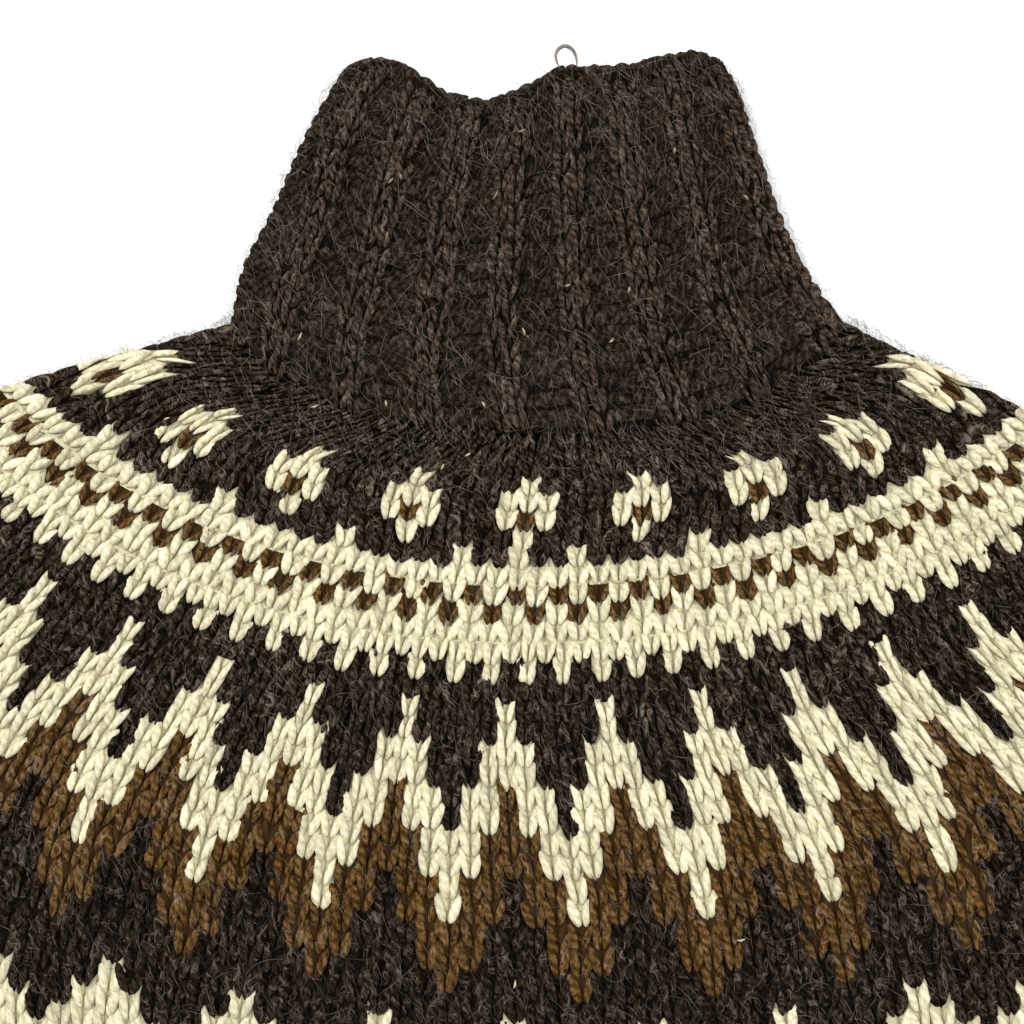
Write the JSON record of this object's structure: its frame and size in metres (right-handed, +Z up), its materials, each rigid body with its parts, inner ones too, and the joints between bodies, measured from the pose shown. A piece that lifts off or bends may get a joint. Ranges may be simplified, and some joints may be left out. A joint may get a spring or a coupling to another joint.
{
  "type": "yoke sweater",
  "caption": "Round-yoke wool pullover with a tall ribbed turtleneck, long sleeves and ribbed cuffs and hem, laid flat on its back.",
  "frame": {"origin": "on the surface that the sweater lies on, under the middle of its box", "axes": "+Z up off the surface, out of the garment's front; +Y towards the neck; +X towards the sleeve on the right of the picture"},
  "size_m": [1.1504, 0.8358, 0.0134],
  "materials": {
    "dark_wool": "undyed dark brown wool, knitted, matt and hairy",
    "yoke_wool": "undyed cream, brown and dark wool, knitted in bands and points"
  },
  "bodies": {
    "root": {"collar": "dark_wool", "yoke": "yoke_wool", "body": "dark_wool", "hem_rib": "dark_wool", "sleeve_left": "dark_wool", "sleeve_right": "dark_wool", "cuff_left": "dark_wool", "cuff_right": "dark_wool"}
  },
  "joints": []
}
